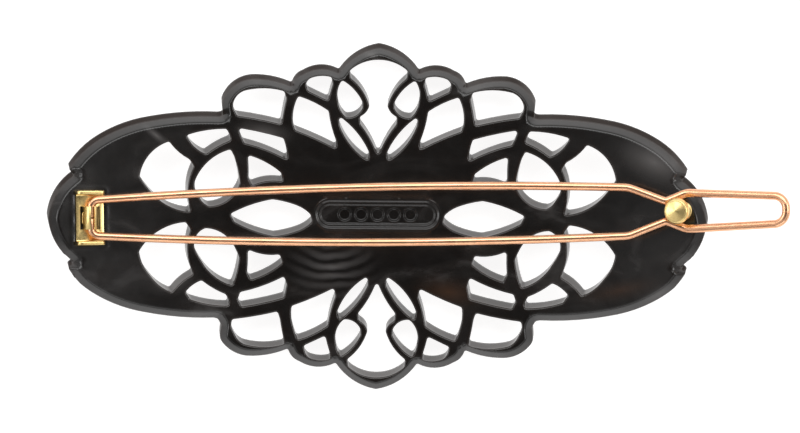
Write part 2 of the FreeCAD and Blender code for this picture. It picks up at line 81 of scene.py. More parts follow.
# ---- slot in the middle of the back ------------------------------------------------------------
SLOT_LENGTH, SLOT_WIDTH, SLOT_OFFSET = 18.4, 3.9, 0.2
SLOT_STEP, SLOT_DEPTH = 0.14, 0.34
SLOT_STEP_EDGE = (-0.12, 0.14)    # where the step falls, measured out from the slot's border
SLOT_FLOOR_EDGE = (-0.62, -0.40)  # where the floor starts, measured the same way
SLOT_LIP, SLOT_LIP_AT, SLOT_LIP_WIDTH = 0.07, 0.34, 0.16
DIMPLES_EACH_SIDE = 2
DIMPLE_PITCH, DIMPLE_RADIUS, DIMPLE_DEPTH, DIMPLE_LIP = 2.5, 1.05, 0.3, 0.05
DIMPLE_WALL, DIMPLE_LIP_WIDTH = 0.25, 0.1

# ---- hinge and stud places, as in the CAD ------------------------------------------------------
HINGE_X, HINGE_Y, HINGE_LENGTH, HINGE_WIDTH = -43.7, -0.7, 4.3, 8.2
STUD_X, STUD_Y = 46.3, 1.15
SKEW = math.degrees(math.atan2(STUD_Y - HINGE_Y, STUD_X - HINGE_X))

# Low swell of the sheet round the hinge plate: height, distance out, width.
SWELL, SWELL_AT, SWELL_WIDTH = 0.06, 0.42, 0.3
SWELL_EVEN, SWELL_UNEVEN = 0.75, 0.25


def cad_loops(node):
    """Closed outlines of the front face of a CAD node, as arrays of X and Y in millimetres."""
    mesh = bmesh.new()
    mesh.from_mesh(node.data)
    bmesh.ops.remove_doubles(mesh, verts=mesh.verts, dist=1e-6)
    mesh.normal_update()
    front = {face for face in mesh.faces if face.normal.z < -0.5}
    links = {}
    for edge in mesh.edges:
        if sum(1 for face in edge.link_faces if face in front) == 1:
            first, second = edge.verts
            links.setdefault(first, []).append(second)
            links.setdefault(second, []).append(first)
    loops = []
    seen = set()
    for start in links:
        if start in seen:
            continue
        loop, here = [start], start
        seen.add(start)
        while True:
            onward = [v for v in links[here] if v not in seen]
            if not onward:
                break
            here = onward[0]
            seen.add(here)
            loop.append(here)
        loops.append(np.array([(v.co.x, v.co.y) for v in loop]) / MM)
    mesh.free()
    return loops


def area(loop):
    """Area in a closed outline, positive when it runs anticlockwise."""
    x, y = loop[:, 0], loop[:, 1]
    return 0.5 * np.sum(x * np.roll(y, -1) - y * np.roll(x, -1))


def inside(loop, points):
    """Which points lie inside a closed outline (even-odd rule)."""
    hit = np.zeros(len(points), bool)
    x, y = points[:, 0], points[:, 1]
    for (x0, y0), (x1, y1) in zip(loop, np.roll(loop, -1, axis=0)):
        if y0 == y1:
            continue
        crosses = (y0 > y) != (y1 > y)
        hit ^= crosses & (x < (x1 - x0) * (y - y0) / (y1 - y0) + x0)
    return hit


def slant(points):
    """How far the front of a wall lies from its back, in plan."""
    return np.column_stack([SPREAD * points[:, 0], np.full(len(points), LEAN)])


def back_outline(loop, is_rim):
    """Outline at the back whose leaning walls show the given outline from above."""
    following = np.roll(loop, -1, axis=0)
    along = following - loop
    outward = np.column_stack([along[:, 1], -along[:, 0]])
    shown = np.sum(outward * slant((loop + following) / 2), axis=1) > 0
    raw = []
    for index, point in enumerate(loop):
        before, after = shown[index - 1], shown[index]
        moved = point - slant(point[None])[0]
        raw.append(moved if before else point)
        if before != after:
            raw.append(moved if after else point)
    raw = np.array(raw)
    count = len(raw)
    vertices, _, faces = delaunay_2d_cdt(
        [Vector(p) for p in raw], [(i, (i + 1) % count) for i in range(count)], [], 0, MERGE)[:3]
    vertices = np.array([v[:] for v in vertices])
    faces = np.array(faces)
    middles = vertices[faces].mean(axis=1)
    steps = [inside(loop, middles + slant(middles) * t) for t in np.linspace(0, 1, LEAN_CHECKS)]
    keep = np.all(steps, axis=0) if is_rim else np.any(steps, axis=0)
    border = dict.fromkeys(
        edge for a, b, c in faces[keep] for edge in ((a, b), (b, c), (c, a)))
    onward = {a: b for a, b in border if (b, a) not in border}
    best = []
    while onward:
        start, here = next(iter(onward.items()))
        chain = [start]
        del onward[start]
        while here != start and here in onward:
            chain.append(here)
            here = onward.pop(here)
        if len(chain) > len(best):
            best = chain
    return vertices[best]


def resample(loop, spacing):
    """The same closed outline with even points."""
    ends = np.vstack([loop, loop[:1]])
    lengths = np.linalg.norm(np.diff(ends, axis=0), axis=1)
    total = np.concatenate([[0], np.cumsum(lengths)])
    count = max(12, round(total[-1] / spacing))
    at = np.arange(count) * total[-1] / count
    return np.column_stack([np.interp(at, total, ends[:, axis]) for axis in (0, 1)])


def softened(loop, spacing, reach):
    """Even outline with corners and facets smoothed over about reach millimetres."""
    fine = resample(loop, spacing / 4)
    sigma = reach / (spacing / 4)
    half = int(4 * sigma) + 1
    weights = np.exp(-0.5 * (np.arange(-half, half + 1) / sigma) ** 2)
    weights /= weights.sum()
    smooth = sum(w * np.roll(fine, k, axis=0) for k, w in zip(range(-half, half + 1), weights))
    return resample(smooth, spacing)


def nearest(tree, points):
    """Distance from each point to the nearest point in a tree."""
    return np.array([tree.find((x, y, 0))[2] for x, y in points])


def tree_of(loops):
    """Search tree over closely spaced points on the outlines."""
    dense = np.vstack([resample(loop, DENSE) for loop in loops])
    tree = kdtree.KDTree(len(dense))
    for index, (x, y) in enumerate(dense):
        tree.insert((x, y, 0), index)
    tree.balance()
    return tree


def plate_outlines():
    """Back outlines, the rim first and anticlockwise, the holes clockwise."""
    outlines = cad_loops(frame["nodes"]["openwork_plate"])
    outlines.sort(key=lambda loop: -abs(area(loop)))
    plan = []
    for index, loop in enumerate(outlines):
        is_rim = index == 0
        back = back_outline(loop if (area(loop) > 0) == is_rim else loop[::-1], is_rim)
        back = back if (area(back) > 0) == is_rim else back[::-1]
        plan.append(softened(back, SPACING, CORNER_SOFTNESS))
    return plan


def inward(loop):
    """Unit normals that point into the sheet, for a loop with the sheet on its left."""
    along = np.roll(loop, -1, axis=0) - np.roll(loop, 1, axis=0)
    along /= np.linalg.norm(along, axis=1)[:, None]
    return np.column_stack([-along[:, 1], along[:, 0]])


def smoothstep(value, low, high):
    """0 below low, 1 above high and a smooth rise between."""
    t = np.clip((value - low) / (high - low), 0, 1)
    return t * t * (3 - 2 * t)


def round_edge(distance, radius):
    """Depth of a quarter-round edge at a distance in from the outline."""
    return radius - np.sqrt(np.maximum(radius ** 2 - np.clip(radius - distance, 0, radius) ** 2, 0))


def bevel(distance):
    """Depth of the rim's bevel, with a rounded crease where it meets the flat."""
    slope = BEVEL_DEPTH / BEVEL_WIDTH
    straight = (BEVEL_WIDTH - distance) * slope
    over = np.clip(distance - (BEVEL_WIDTH - CREASE), 0, 2 * CREASE)
    fillet = slope * (CREASE - over + over ** 2 / (4 * CREASE))
    return np.where(distance < BEVEL_WIDTH - CREASE, straight, fillet)


def slot_depth(points):
    """Depth of the sunk slot in the middle of the back, with its stepped border and five dimples."""
    x, y = points[:, 0], points[:, 1] - SLOT_OFFSET
    across = np.hypot(np.maximum(np.abs(x) - (SLOT_LENGTH - SLOT_WIDTH) / 2, 0), y) - SLOT_WIDTH / 2
    depth = -SLOT_LIP * np.exp(-(((across - SLOT_LIP_AT) / SLOT_LIP_WIDTH) ** 2))
    depth += SLOT_STEP * (1 - smoothstep(across, *SLOT_STEP_EDGE))
    depth += (SLOT_DEPTH - SLOT_STEP) * (1 - smoothstep(across, *SLOT_FLOOR_EDGE))
    for number in range(-DIMPLES_EACH_SIDE, DIMPLES_EACH_SIDE + 1):
        radius = np.hypot(x - number * DIMPLE_PITCH, y)
        depth += DIMPLE_DEPTH * (1 - smoothstep(radius, DIMPLE_RADIUS - DIMPLE_WALL, DIMPLE_RADIUS))
        past_lip = radius - DIMPLE_RADIUS - DIMPLE_LIP_WIDTH / 2
        depth -= DIMPLE_LIP * np.exp(-((past_lip / DIMPLE_LIP_WIDTH) ** 2))
    return depth


def seat_swell(points):
    """Height of the softened sheet pushed up round the hinge plate."""
    turn = math.radians(SKEW)
    x, y = points[:, 0] - HINGE_X, points[:, 1] - HINGE_Y
    u = np.abs(x * math.cos(turn) + y * math.sin(turn)) - HINGE_LENGTH / 2
    v = np.abs(y * math.cos(turn) - x * math.sin(turn)) - HINGE_WIDTH / 2
    gap = np.hypot(np.maximum(u, 0), np.maximum(v, 0)) + np.minimum(np.maximum(u, v), 0)
    wave = SWELL_EVEN + SWELL_UNEVEN * np.sin(points[:, 1] * 2.1 + 0.6) * np.cos(points[:, 0] * 1.7)
    return SWELL * wave * np.exp(-(((gap - SWELL_AT) / SWELL_WIDTH) ** 2))


def sheet_point(plan, depth, lean):
    """Place of plan points sunk by depth below the back face, with a share of the lean."""
    radius = BACK_RADIUS + depth
    turn = np.arcsin(plan[:, 0] / BACK_RADIUS)
    return np.column_stack([
        radius * np.sin(turn), plan[:, 1] + LEAN * lean, FRONT_RADIUS - radius * np.cos(turn)])


def on_sheet(plan, points):
    """Which points lie inside the rim and outside every hole."""
    keep = inside(plan[0], points)
    for loop in plan[1:]:
        low, high = loop.min(axis=0), loop.max(axis=0)
        near = np.all((points > low) & (points < high), axis=1)
        hit = np.zeros(len(points), bool)
        hit[near] = inside(loop, points[near])
        keep &= ~hit
    return keep


def staggered(low, high, spacing, pitch, shift):
    """Rows of points in a rectangle, every second row moved sideways."""
    rows = []
    for row, y in enumerate(np.arange(low[1], high[1], pitch)):
        xs = np.arange(low[0], high[0], spacing) + (row % 2) * shift
        rows.append(np.column_stack([xs, np.full(len(xs), y)]))
    return np.vstack(rows)


def fill_points(plan):
    """Points over the whole sheet, closer together at the slot and round the hinge plate."""
    low, high = plan[0].min(axis=0), plan[0].max(axis=0)
    coarse = staggered(low, high, FILL, FILL * math.sqrt(0.75), FILL / 2)
    half_x, half_y = SLOT_LENGTH / 2 + SLOT_MARGIN, SLOT_WIDTH / 2 + SLOT_MARGIN
    fine = staggered(
        (-half_x, SLOT_OFFSET - half_y), (half_x, SLOT_OFFSET + half_y),
        FINE_FILL, FINE_FILL, FINE_FILL / 2)
    half = max(HINGE_LENGTH, HINGE_WIDTH) / 2 + HINGE_MARGIN
    round_hinge = staggered(
        (HINGE_X - half, HINGE_Y - half), (HINGE_X + half, HINGE_Y + half),
        HINGE_FILL, HINGE_FILL, HINGE_FILL_SHIFT)
    fill = np.vstack([coarse, fine, round_hinge])
    return fill[on_sheet(plan, fill)]


def plan_points(plan):
    """Outline points, rings inside them and the fill, with their distances to rim and holes."""
    rim_tree, hole_tree, full_tree = tree_of(plan[:1]), tree_of(plan[1:]), tree_of(plan)
    points = [np.vstack(plan)]
    for index, loop in enumerate(plan):
        normals = inward(loop)
        rings, own_tree = (RIM_RINGS, rim_tree) if index == 0 else (HOLE_RINGS, hole_tree)
        for ring, offset in enumerate(rings):
            shifted = loop + normals * offset
            if offset > 0.3:
                shifted = shifted[ring % 2::2]
            elif ring % 2:
                shifted = (shifted + np.roll(shifted, -1, axis=0)) / 2
            clear = nearest(own_tree, shifted) > offset * 0.96 - 0.004
            clear &= nearest(full_tree, shifted) > 0.9 * min(offset, DENSE)
            points.append(shifted[clear])
    taken = kdtree.KDTree(sum(len(p) for p in points))
    for number, (x, y) in enumerate(np.vstack(points)):
        taken.insert((x, y, 0), number)
    taken.balance()
    fill = fill_points(plan)
    fill = fill[(nearest(full_tree, fill) > OUTLINE_GAP) & (nearest(taken, fill) > POINT_GAP)]
    points = np.vstack(points + [fill])
    return points, nearest(rim_tree, points), nearest(hole_tree, points)


def triangulated(plan):
    """Plan points and triangles of the sheet, with each point's distance to rim and holes."""
    points, to_rim, to_hole = plan_points(plan)
    border, start = [], 0
    for loop in plan:
        count = len(loop)
        border += [(start + i, start + (i + 1) % count) for i in range(count)]
        start += count
    to_rim[:len(plan[0])] = 0
    to_hole[len(plan[0]):start] = 0
    vertices, _, faces, origins = delaunay_2d_cdt(
        [Vector(p) for p in points], border, [], 0, MERGE)[:4]
    plan_xy = np.array([v[:] for v in vertices])
    source = np.array([origin[0] if origin else -1 for origin in origins])
    to_rim = np.where(source < 0, 1.0, to_rim[source])
    to_hole = np.where(source < 0, 0.0, to_hole[source])
    faces = np.array(faces)
    return plan_xy, faces[on_sheet(plan, plan_xy[faces].mean(axis=1))], to_rim, to_hole


def make_plate():
    """Bent sheet with a bevelled rim, rounded edges and leaning walls, from the CAD outlines."""
    plan_xy, faces, to_rim, to_hole = triangulated(plate_outlines())
    back = np.maximum(bevel(to_rim), round_edge(to_hole, HOLE_ROUND))
    back = back + slot_depth(plan_xy) - seat_swell(plan_xy)
    front = np.maximum(round_edge(to_rim, FRONT_RIM_ROUND), round_edge(to_hole, FRONT_HOLE_ROUND))
    front_depth = THICKNESS - front
    count = len(plan_xy)
    tops = sheet_point(plan_xy, back, np.zeros(count))
    bottoms = sheet_point(plan_xy, front_depth, np.ones(count))
    directed = {(a, b) for face in faces.tolist() for a, b in zip(face, face[1:] + face[:1])}
    rims = sorted((a, b) for a, b in directed if (b, a) not in directed)
    edge_vertices = np.unique(rims)
    ring_index = {int(vertex): number for number, vertex in enumerate(edge_vertices)}
    edge_plan = plan_xy[edge_vertices]
    walls = []
    for step in range(1, WALL_STEPS):
        share = step / WALL_STEPS
        depth = back[edge_vertices] * (1 - share) + front_depth[edge_vertices] * share
        walls.append(sheet_point(edge_plan, depth, np.full(len(edge_plan), share)))
    coordinates = np.vstack([tops, bottoms] + walls) * MM
    polygons = [tuple(face) for face in faces] + [tuple(face[::-1] + count) for face in faces]

    def at(vertex, step):
        """Number of the point some steps down the wall below an edge vertex."""
        if step == 0:
            return vertex
        if step == WALL_STEPS:
            return vertex + count
        return 2 * count + (step - 1) * len(edge_vertices) + ring_index[vertex]

    for a, b in rims:
        for step in range(WALL_STEPS):
            polygons.append((at(b, step), at(a, step), at(a, step + 1), at(b, step + 1)))
    mesh = bpy.data.meshes.new("plate_sheet")
    mesh.from_pydata(coordinates.tolist(), [], [[int(v) for v in p] for p in polygons])
    tint = mesh.attributes.new("edge_tint", "FLOAT", "POINT")
    near_edge = np.exp(-np.minimum(to_rim, to_hole) / TINT_REACH)
    values = np.concatenate([near_edge, near_edge] + [np.ones(len(edge_vertices))] * (WALL_STEPS - 1))
    tint.data.foreach_set("value", values.astype(np.float32))
    return finish_mesh(mesh, "plate_sheet")


def finish_mesh(mesh, name):
    """Cleans a mesh, shades it smooth and puts it in the scene."""
    shape = bmesh.new()
    shape.from_mesh(mesh)
    loose = [v for v in shape.verts if not v.link_faces]
    bmesh.ops.delete(shape, geom=loose, context="VERTS")
    bmesh.ops.recalc_face_normals(shape, faces=shape.faces)
    for face in shape.faces:
        face.smooth = True
    shape.to_mesh(mesh)
    shape.free()
    piece = bpy.data.objects.new(name, mesh)
    bpy.context.scene.collection.objects.link(piece)
    return piece


# ---- materials ---------------------------------------------------------------------------------

INK = (0.0065, 0.0055, 0.005)
SMOKE = (0.022, 0.02, 0.019)
# grey of the horn's clouds and rings; the same grey is also painted as soft reflections in the larger
# patches
GREY_HORN_AND_REFLECTION = (0.085, 0.08, 0.078)
BROWN_HORN = (0.045, 0.022, 0.012)
EDGE_BROWN = (0.035, 0.018, 0.011)
# centre, half sizes (mm), turn (degrees), tone and strength of the larger patches; the brown ones are
# streaks in the horn, the grey ones are painted reflections of the surroundings on the polished back
HORN_CLOUDS_AND_PAINTED_REFLECTIONS = (
    ((11.0, -11.5), (7.5, 3.2), -8, BROWN_HORN, 0.8),
    ((37.0, -11.0), (9.0, 2.2), 12, BROWN_HORN, 0.5),
    ((43.0, -11.5), (5.5, 1.6), 28, GREY_HORN_AND_REFLECTION, 0.7),
    ((42.0, 8.5), (8.0, 4.0), -25, GREY_HORN_AND_REFLECTION, 1.0),
    ((-17.5, 12.5), (6.0, 2.6), -6, GREY_HORN_AND_REFLECTION, 0.9),
    ((-33.8, 12.0), (3.6, 0.9), -38, GREY_HORN_AND_REFLECTION, 1.0),
    ((-31.0, -10.0), (5.0, 3.0), 15, GREY_HORN_AND_REFLECTION, 0.7),
    ((-22.0, -22.0), (4.0, 2.5), 0, GREY_HORN_AND_REFLECTION, 0.6),
    ((-1.0, 24.5), (2.6, 1.2), -15, GREY_HORN_AND_REFLECTION, 0.7),
)
CLOUD_SHARE, BROWN_SHARE, EDGE_SHARE = 0.35, 0.05, 0.35
RING_SCALE = 210
RING_CENTRE = (-7.0, -2.5, 3)
RING_PATCH = ((-7, -8), (9, 6.5))
ACETATE_IOR = 1.49


def new_material(name):
    """A material with its nodes, its links and its shader."""
    material = bpy.data.materials.new(name)
    material.use_nodes = True
    nodes, links = material.node_tree.nodes, material.node_tree.links
    return material, nodes, links, nodes["Principled BSDF"]


def ramp(nodes, stops):
    """Colour ramp through stops of place and colour."""
    node = nodes.new("ShaderNodeValToRGB")
    first, last = node.color_ramp.elements
    first.position, first.color = stops[0][0], (*stops[0][1], 1)
    last.position, last.color = stops[-1][0], (*stops[-1][1], 1)
    for position, colour in stops[1:-1]:
        node.color_ramp.elements.new(position).color = (*colour, 1)
    return node


def mapped(nodes, links, scale, turn=0.0):
    """Object coordinates, scaled and turned about Z."""
    where = nodes.new("ShaderNodeTexCoord")
    mapping = nodes.new("ShaderNodeMapping")
    mapping.inputs["Scale"].default_value = scale
    mapping.inputs["Rotation"].default_value = (0, 0, turn)
    links.new(where.outputs["Object"], mapping.inputs["Vector"])
    return mapping


def noise(nodes, links, mapping, scale, detail, distortion):
    """Cloudy pattern over mapped coordinates."""
    node = nodes.new("ShaderNodeTexNoise")
    node.inputs["Scale"].default_value = scale
    node.inputs["Detail"].default_value = detail
    node.inputs["Distortion"].default_value = distortion
    links.new(mapping.outputs["Vector"], node.inputs["Vector"])
    return node


def mix(nodes, links, factor, first, second):
    """Mixed colour; factor and colours may be values or sockets."""
    node = nodes.new("ShaderNodeMix")
    node.data_type = "RGBA"
    for socket, value in ((node.inputs[0], factor), (node.inputs[6], first), (node.inputs[7], second)):
        if hasattr(value, "is_output"):
            links.new(value, socket)
        elif isinstance(value, tuple):
            socket.default_value = (*value, 1)
        else:
            socket.default_value = value
    return node.outputs[2]


def maths(nodes, links, operation, first, second):
    """Result of a sum on values or sockets, kept between 0 and 1."""
    node = nodes.new("ShaderNodeMath")
    node.operation = operation
    node.use_clamp = True
    for socket, value in zip(node.inputs, (first, second)):
        if hasattr(value, "is_output"):
            links.new(value, socket)
        else:
            socket.default_value = value
    return node.outputs[0]


def patch(nodes, links, centre, size, turn=0.0):
    """1 at the middle of an oval patch on the sheet, falling to 0 at its border."""
    where = nodes.new("ShaderNodeTexCoord")
    mapping = nodes.new("ShaderNodeMapping")
    mapping.vector_type = "TEXTURE"
    mapping.inputs["Location"].default_value = (centre[0] * MM, centre[1] * MM, 0)
    mapping.inputs["Rotation"].default_value = (0, 0, math.radians(turn))
    mapping.inputs["Scale"].default_value = (size[0] * MM, size[1] * MM, 1)
    links.new(where.outputs["Object"], mapping.inputs["Vector"])
    gradient = nodes.new("ShaderNodeTexGradient")
    gradient.gradient_type = "QUADRATIC_SPHERE"
    links.new(mapping.outputs["Vector"], gradient.inputs["Vector"])
    return gradient.outputs["Fac"]


def bumped(nodes, links, pattern, strength, distance):
    """Normal of a surface that a pattern raises by up to distance metres."""
    bump = nodes.new("ShaderNodeBump")
    bump.inputs["Strength"].default_value = strength
    bump.inputs["Distance"].default_value = distance
    links.new(pattern.outputs["Fac"], bump.inputs["Height"])
    return bump.outputs["Normal"]


def grain_rings(nodes, links):
    """Fine rings in the horn pattern below the slot."""
    rings = nodes.new("ShaderNodeTexWave")
    rings.wave_type = "RINGS"
    rings.rings_direction = "SPHERICAL"
    rings.inputs["Scale"].default_value = RING_SCALE
    rings.inputs["Distortion"].default_value = 2.5
    rings.inputs["Detail"].default_value = 2
    rings.inputs["Detail Scale"].default_value = 1.2
    centred = nodes.new("ShaderNodeMapping")
    centred.vector_type = "TEXTURE"
    centred.inputs["Location"].default_value = tuple(place * MM for place in RING_CENTRE)
    centred.inputs["Scale"].default_value = (1.5, 1.0, 1.0)
    where = nodes.new("ShaderNodeTexCoord")
    links.new(where.outputs["Object"], centred.inputs["Vector"])
    links.new(centred.outputs["Vector"], rings.inputs["Vector"])
    shown = patch(nodes, links, *RING_PATCH)
    return maths(nodes, links, "MULTIPLY", rings.outputs["Fac"], shown)


def horn_colour(nodes, links):
    """Near black with grey and brown clouds, rings, a warmer edge and larger patches, the grey ones of
    which are painted reflections.
    """
    flow = mapped(nodes, links, (1.0, 1.9, 1.0), math.radians(-14))
    cloud = noise(nodes, links, flow, 62, 5, 1.6)
    cloud_ramp = ramp(nodes, ((0.46, INK), (0.60, SMOKE), (0.72, GREY_HORN_AND_REFLECTION)))
    links.new(cloud.outputs["Fac"], cloud_ramp.inputs["Fac"])
    colour = mix(nodes, links, CLOUD_SHARE, INK, cloud_ramp.outputs["Color"])
    brown_cloud = noise(nodes, links, mapped(nodes, links, (1.0, 2.4, 1.0), 0.4), 90, 4, 1.2)
    brown_ramp = ramp(nodes, ((0.52, (0, 0, 0)), (0.75, (1, 1, 1))))
    links.new(brown_cloud.outputs["Fac"], brown_ramp.inputs["Fac"])
    share = maths(nodes, links, "MULTIPLY", brown_ramp.outputs["Color"], BROWN_SHARE)
    colour = mix(nodes, links, share, colour, BROWN_HORN)
    colour = mix(nodes, links, grain_rings(nodes, links), colour, GREY_HORN_AND_REFLECTION)
    # the grey patches paint soft reflections of the surroundings into the colour; the brown patches
    # are streaks in the horn
    for centre, size, turn, tone, strength in HORN_CLOUDS_AND_PAINTED_REFLECTIONS:
        spot = patch(nodes, links, centre, size, turn)
        colour = mix(nodes, links, maths(nodes, links, "MULTIPLY", spot, strength), colour, tone)
    tint = nodes.new("ShaderNodeAttribute")
    tint.attribute_name = "edge_tint"
    thin = maths(nodes, links, "MULTIPLY", tint.outputs["Fac"], EDGE_SHARE)
    return mix(nodes, links, thin, colour, EDGE_BROWN)


def acetate_material():
    """Polished near-black cellulose acetate with horn-like grey and brown clouds in it and grey
    patches of painted reflection.
    """
    material, nodes, links, shader = new_material("marbled_acetate")
    links.new(horn_colour(nodes, links), shader.inputs["Base Color"])
    wear = noise(nodes, links, mapped(nodes, links, (1, 1, 1)), 420, 5, 0.3)
    rough = ramp(nodes, ((0.3, (0.13, 0.13, 0.13)), (0.75, (0.24, 0.24, 0.24))))
    links.new(wear.outputs["Fac"], rough.inputs["Fac"])
    links.new(rough.outputs["Color"], shader.inputs["Roughness"])
    swell = noise(nodes, links, mapped(nodes, links, (1, 1, 1)), 150, 3, 0.0)
    links.new(bumped(nodes, links, swell, 0.25, 0.00012), shader.inputs["Normal"])
    shader.inputs["IOR"].default_value = ACETATE_IOR
    return material


BRASS = (0.92, 0.70, 0.30)
BRASS_WORN = (0.78, 0.55, 0.22)
ROSE = (0.93, 0.52, 0.31)
ROSE_WORN = (0.86, 0.43, 0.24)
SPRING = (0.80, 0.60, 0.27)
SPRING_WORN = (0.70, 0.48, 0.20)


def metal_material(name, base, worn, roughness, stretch):
    """Plated metal with fine drawn lines and a slightly uneven tone."""
    material, nodes, links, shader = new_material(name)
    cloud = noise(nodes, links, mapped(nodes, links, (1, 1, 1)), 500, 4, 0.4)
    tones = ramp(nodes, ((0.35, base), (0.75, worn)))
    links.new(cloud.outputs["Fac"], tones.inputs["Fac"])
    links.new(tones.outputs["Color"], shader.inputs["Base Color"])
    lines = noise(nodes, links, mapped(nodes, links, stretch), 3000, 3, 0.0)
    rough = ramp(nodes, ((0.3, (roughness * 0.8,) * 3), (0.8, (roughness * 1.4,) * 3)))
    links.new(lines.outputs["Fac"], rough.inputs["Fac"])
    links.new(rough.outputs["Color"], shader.inputs["Roughness"])
    links.new(bumped(nodes, links, lines, 0.2, 0.00001), shader.inputs["Normal"])
    shader.inputs["Metallic"].default_value = 1.0
    return material


# ---- wire --------------------------------------------------------------------------------------
# Sizes as in the CAD, in the wire's own frame: X along the clasp from the trunnion, Y across it.

WIRE_RADIUS = 0.625
WIRE_SIDES = 28
CATCH_HEIGHT = 1.4           # wire axis over the back face at the stud
TRUNNION_GAP = 0.2           # between the two cut ends
TRUNNION_HALF, ELBOW_RADIUS = 2.7, 1.1
BOW_HALF, BOW_SHARE = 5.05, 0.98
SHOULDER_SETBACK, SHOULDER_HALF, SHOULDER_RADIUS = 7.8, 3.67, 4.0
WAIST_SETBACK, WAIST_HALF, WAIST_RADIUS = 2.2, 1.5, 0.9
LOOP_START, LOOP_HALF, LOOP_START_RADIUS = 0.9, 2.74, 2.0
LOOP_LENGTH, LOOP_END_HALF, LOOP_END_RADIUS = 15.0, 2.06, 1.95
LOOP_LIFT = 2.6              # degrees over the slope of the back face at the stud
ARC_CHORD, ARC_DEGREES, STRAIGHT_STEP = 1.2, 5, 1.5
END_ROUNDING = ((0.0, 0.0), (0.80, 0.0), (0.95, 0.02))  # share of the radius, distance from the end
FULL_FROM = 0.08             # distance from the end where the wire has its full radius
SAME_POINT = 0.03


def seat_matrix(x, y):
    """Frame on the back face: Z out of the face, X along the clasp."""
    height = FRONT_RADIUS - math.sqrt(BACK_RADIUS ** 2 - x ** 2)
    tilt = math.asin(-x / BACK_RADIUS)
    turn = Matrix.Rotation(math.radians(SKEW), 4, "Z") @ Matrix.Rotation(tilt, 4, "Y")
    return Matrix.Translation(Vector((x, y, height)) * MM) @ turn


def wire_frame():
    """Trunnion centre, length to the stud and slope of the shut wire."""
    pivot = np.array(frame["joints"][0]["pos_m"]) / MM
    catch = seat_matrix(STUD_X, STUD_Y) @ Vector((0, 0, CATCH_HEIGHT * MM))
    span = np.array(catch) / MM - pivot
    return pivot, np.linalg.norm(span), math.atan2(span[2], math.hypot(span[0], span[1]))


def wire_corners(run, slope):
    """Corner points of the whole wire with their bend radii; the bow's radius is None."""
    climb = math.tan(math.asin(STUD_X / BACK_RADIUS) + math.radians(LOOP_LIFT) - slope)
    shoulder = run - SHOULDER_SETBACK
    loop = run + LOOP_START
    half = (
        ((0, TRUNNION_GAP / 2, 0), 0),
        ((0, TRUNNION_HALF, 0), ELBOW_RADIUS),
        ((shoulder / 2, BOW_HALF, 0), None),
        ((shoulder, SHOULDER_HALF, 0), SHOULDER_RADIUS),
        ((run - WAIST_SETBACK, WAIST_HALF, 0), WAIST_RADIUS),
        ((loop, LOOP_HALF, 0), LOOP_START_RADIUS),
        ((loop + LOOP_LENGTH, LOOP_END_HALF, LOOP_LENGTH * climb), LOOP_END_RADIUS),
    )
    corners = [(np.array(point, float), radius) for point, radius in half]
    return corners + [(point * (1, -1, 1), radius) for point, radius in reversed(corners)]


def wire_route(corners):
    """Points along straight runs and tangent arcs."""
    route = [corners[0][0]]
    for index in range(1, len(corners) - 1):
        corner, radius = corners[index]
        before, after = corners[index - 1][0] - corner, corners[index + 1][0] - corner
        runs = np.linalg.norm(before), np.linalg.norm(after)
        before, after = before / runs[0], after / runs[1]
        half_turn = (math.pi - math.acos(np.clip(before @ after, -1, 1))) / 2
        if radius is None:
            radius = (BOW_SHARE * min(runs) - ELBOW_RADIUS) / math.tan(half_turn)
        reach = radius * math.tan(half_turn)
        start = corner + before * reach
        inwards = (before + after) / np.linalg.norm(before + after)
        centre = corner + inwards * radius / math.cos(half_turn)
        angle = 2 * half_turn
        steps = max(6, int(angle * radius / ARC_CHORD), int(math.degrees(angle) / ARC_DEGREES))
        first, last = start - centre, corner + after * reach - centre
        gap = route[-1] - start
        parts = int(np.linalg.norm(gap) / STRAIGHT_STEP) + 1
        for share in np.arange(1, parts) / parts:
            route.append(start + gap * (1 - share))
        for t in np.arange(steps + 1) / steps:
            arm = first * math.sin((1 - t) * angle) + last * math.sin(t * angle)
            route.append(centre + arm / math.sin(angle))
    route.append(corners[-1][0])
    clean = [route[0]]
    for point in route[1:]:
        if np.linalg.norm(point - clean[-1]) > SAME_POINT:
            clean.append(point)
    return np.array(clean)


def wire_stations(last):
    """Where the rings stand: route point, distance moved along it and share of the radius."""
    rounding = [(0, shift, share) for share, shift in END_ROUNDING]
    full = [(index, 0.0, 1.0) for index in range(last + 1)]
    full[0], full[-1] = (0, FULL_FROM, 1.0), (last, -FULL_FROM, 1.0)
    return rounding + full + [(last, -shift, share) for _, shift, share in reversed(rounding)]


